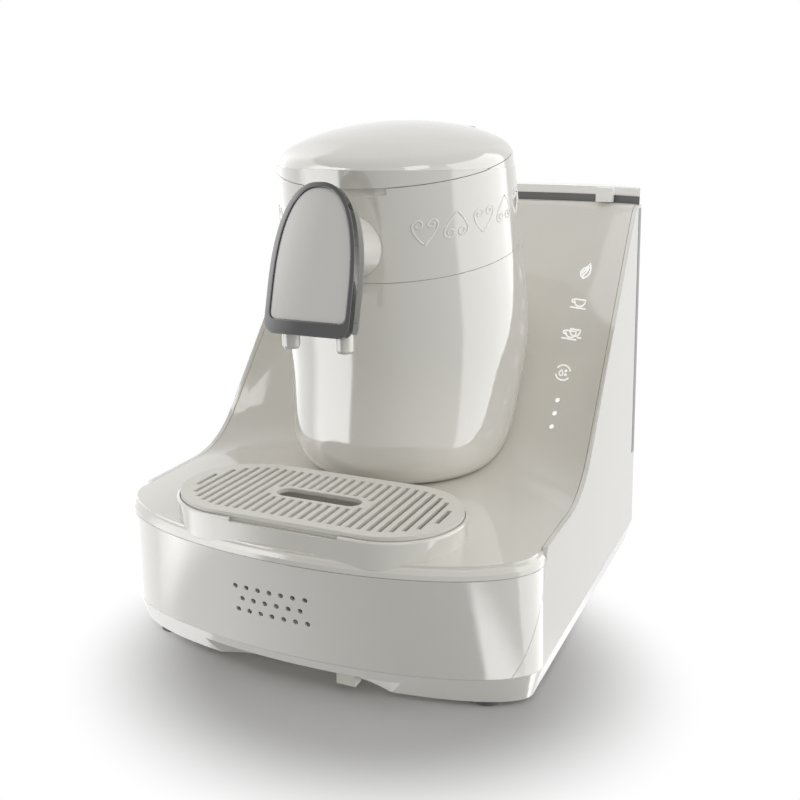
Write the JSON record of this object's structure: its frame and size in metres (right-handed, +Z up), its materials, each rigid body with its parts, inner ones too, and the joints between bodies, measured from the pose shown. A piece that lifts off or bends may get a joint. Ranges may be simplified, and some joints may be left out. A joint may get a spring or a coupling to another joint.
{
  "type": "electric turkish coffee maker",
  "caption": "Countertop electric coffee maker with bowed base, drip tray, barrel brew chamber under a hinged lid, arched pouring head with two nozzles and rear water tank.",
  "frame": {"origin": "middle of the footprint, on the table under the feet", "axes": "+X to the user's right when facing the front, +Y to the back, +Z up; the pouring head and drip tray are at -Y"},
  "size_m": [0.218, 0.277, 0.2542],
  "materials": {
    "shell_white": "glossy ivory white",
    "deck_white": "glossy ivory white",
    "tray_ivory": "satin ivory",
    "chrome": "mirror",
    "face_white": "high gloss",
    "smoke_tank": "smoked clear",
    "rubber_black": "matte",
    "inner_grey": "matte",
    "steel": "brushed",
    "cast_alu": "cast",
    "silicone": "translucent silicone",
    "board_green": "matte",
    "light_white": "frosted",
    "lid_clear": "translucent white"
  },
  "bodies": {
    "housing": {"base_pan": "deck_white", "rubber_feet": "rubber_black", "base_tab": "tray_ivory", "front_panel": "shell_white", "side_panel_left": "shell_white", "side_panel_right": "shell_white", "deck_shell": "deck_white", "rear_cover": "shell_white", "speaker": "inner_grey", "touch_film": "inner_grey", "status_lights": "light_white", "control_board": "board_green", "board_screws": "steel", "pump": "inner_grey", "pump_saddle": "silicone", "suction_hose": "silicone", "delivery_hose": "silicone", "barrel_shell": "shell_white", "head_band": "shell_white", "hinge_pin": "steel", "coffee_pot": "steel", "heater_plate": "cast_alu", "heating_element": "steel", "heater_carrier": "inner_grey", "spacers": "tray_ivory", "thermostat": "inner_grey", "riser_tube": "steel", "spout_boss": "shell_white", "spout_cover": "face_white", "chrome_ring": "chrome", "face_panel": "face_white", "head_manifold": "inner_grey", "nozzles": "shell_white", "tank_socket": "inner_grey", "cord_inlet": "inner_grey"},
    "lid": {"head_lid": "shell_white"},
    "tank": {"water_tank": "smoke_tank"},
    "tank_cap": {"tank_lid": "lid_clear"},
    "float": {"tank_float": "tray_ivory"},
    "valve": {"tank_valve": "inner_grey"},
    "tray": {"drip_tray": "tray_ivory"},
    "grille": {"grille_plate": "tray_ivory"}
  },
  "joints": [
    {"name": "lid_hinge", "type": "hinge", "parent": "housing", "child": "lid", "pos_m": [0, 0.044, 0.2478], "axis": [-1, 0, 0], "range_deg": [0, 95]},
    {"name": "tank_lift", "type": "slide", "parent": "housing", "child": "tank", "axis": [0, 0, 1], "range_m": [0, 0.12]},
    {"name": "tank_cap_lift", "type": "slide", "parent": "tank", "child": "tank_cap", "axis": [0, 0, 1], "range_m": [0, 0.06]},
    {"name": "float_rise", "type": "slide", "parent": "tank", "child": "float", "axis": [0, 0, 1], "range_m": [0, 0.11]},
    {"name": "valve_lift", "type": "slide", "parent": "tank", "child": "valve", "axis": [0, 0, 1], "range_m": [0, 0.003]},
    {"name": "tray_lift", "type": "slide", "parent": "housing", "child": "tray", "axis": [0, 0, 1], "range_m": [0, 0.045]},
    {"name": "grille_lift", "type": "slide", "parent": "tray", "child": "grille", "axis": [0, 0, 1], "range_m": [0, 0.02]}
  ]
}
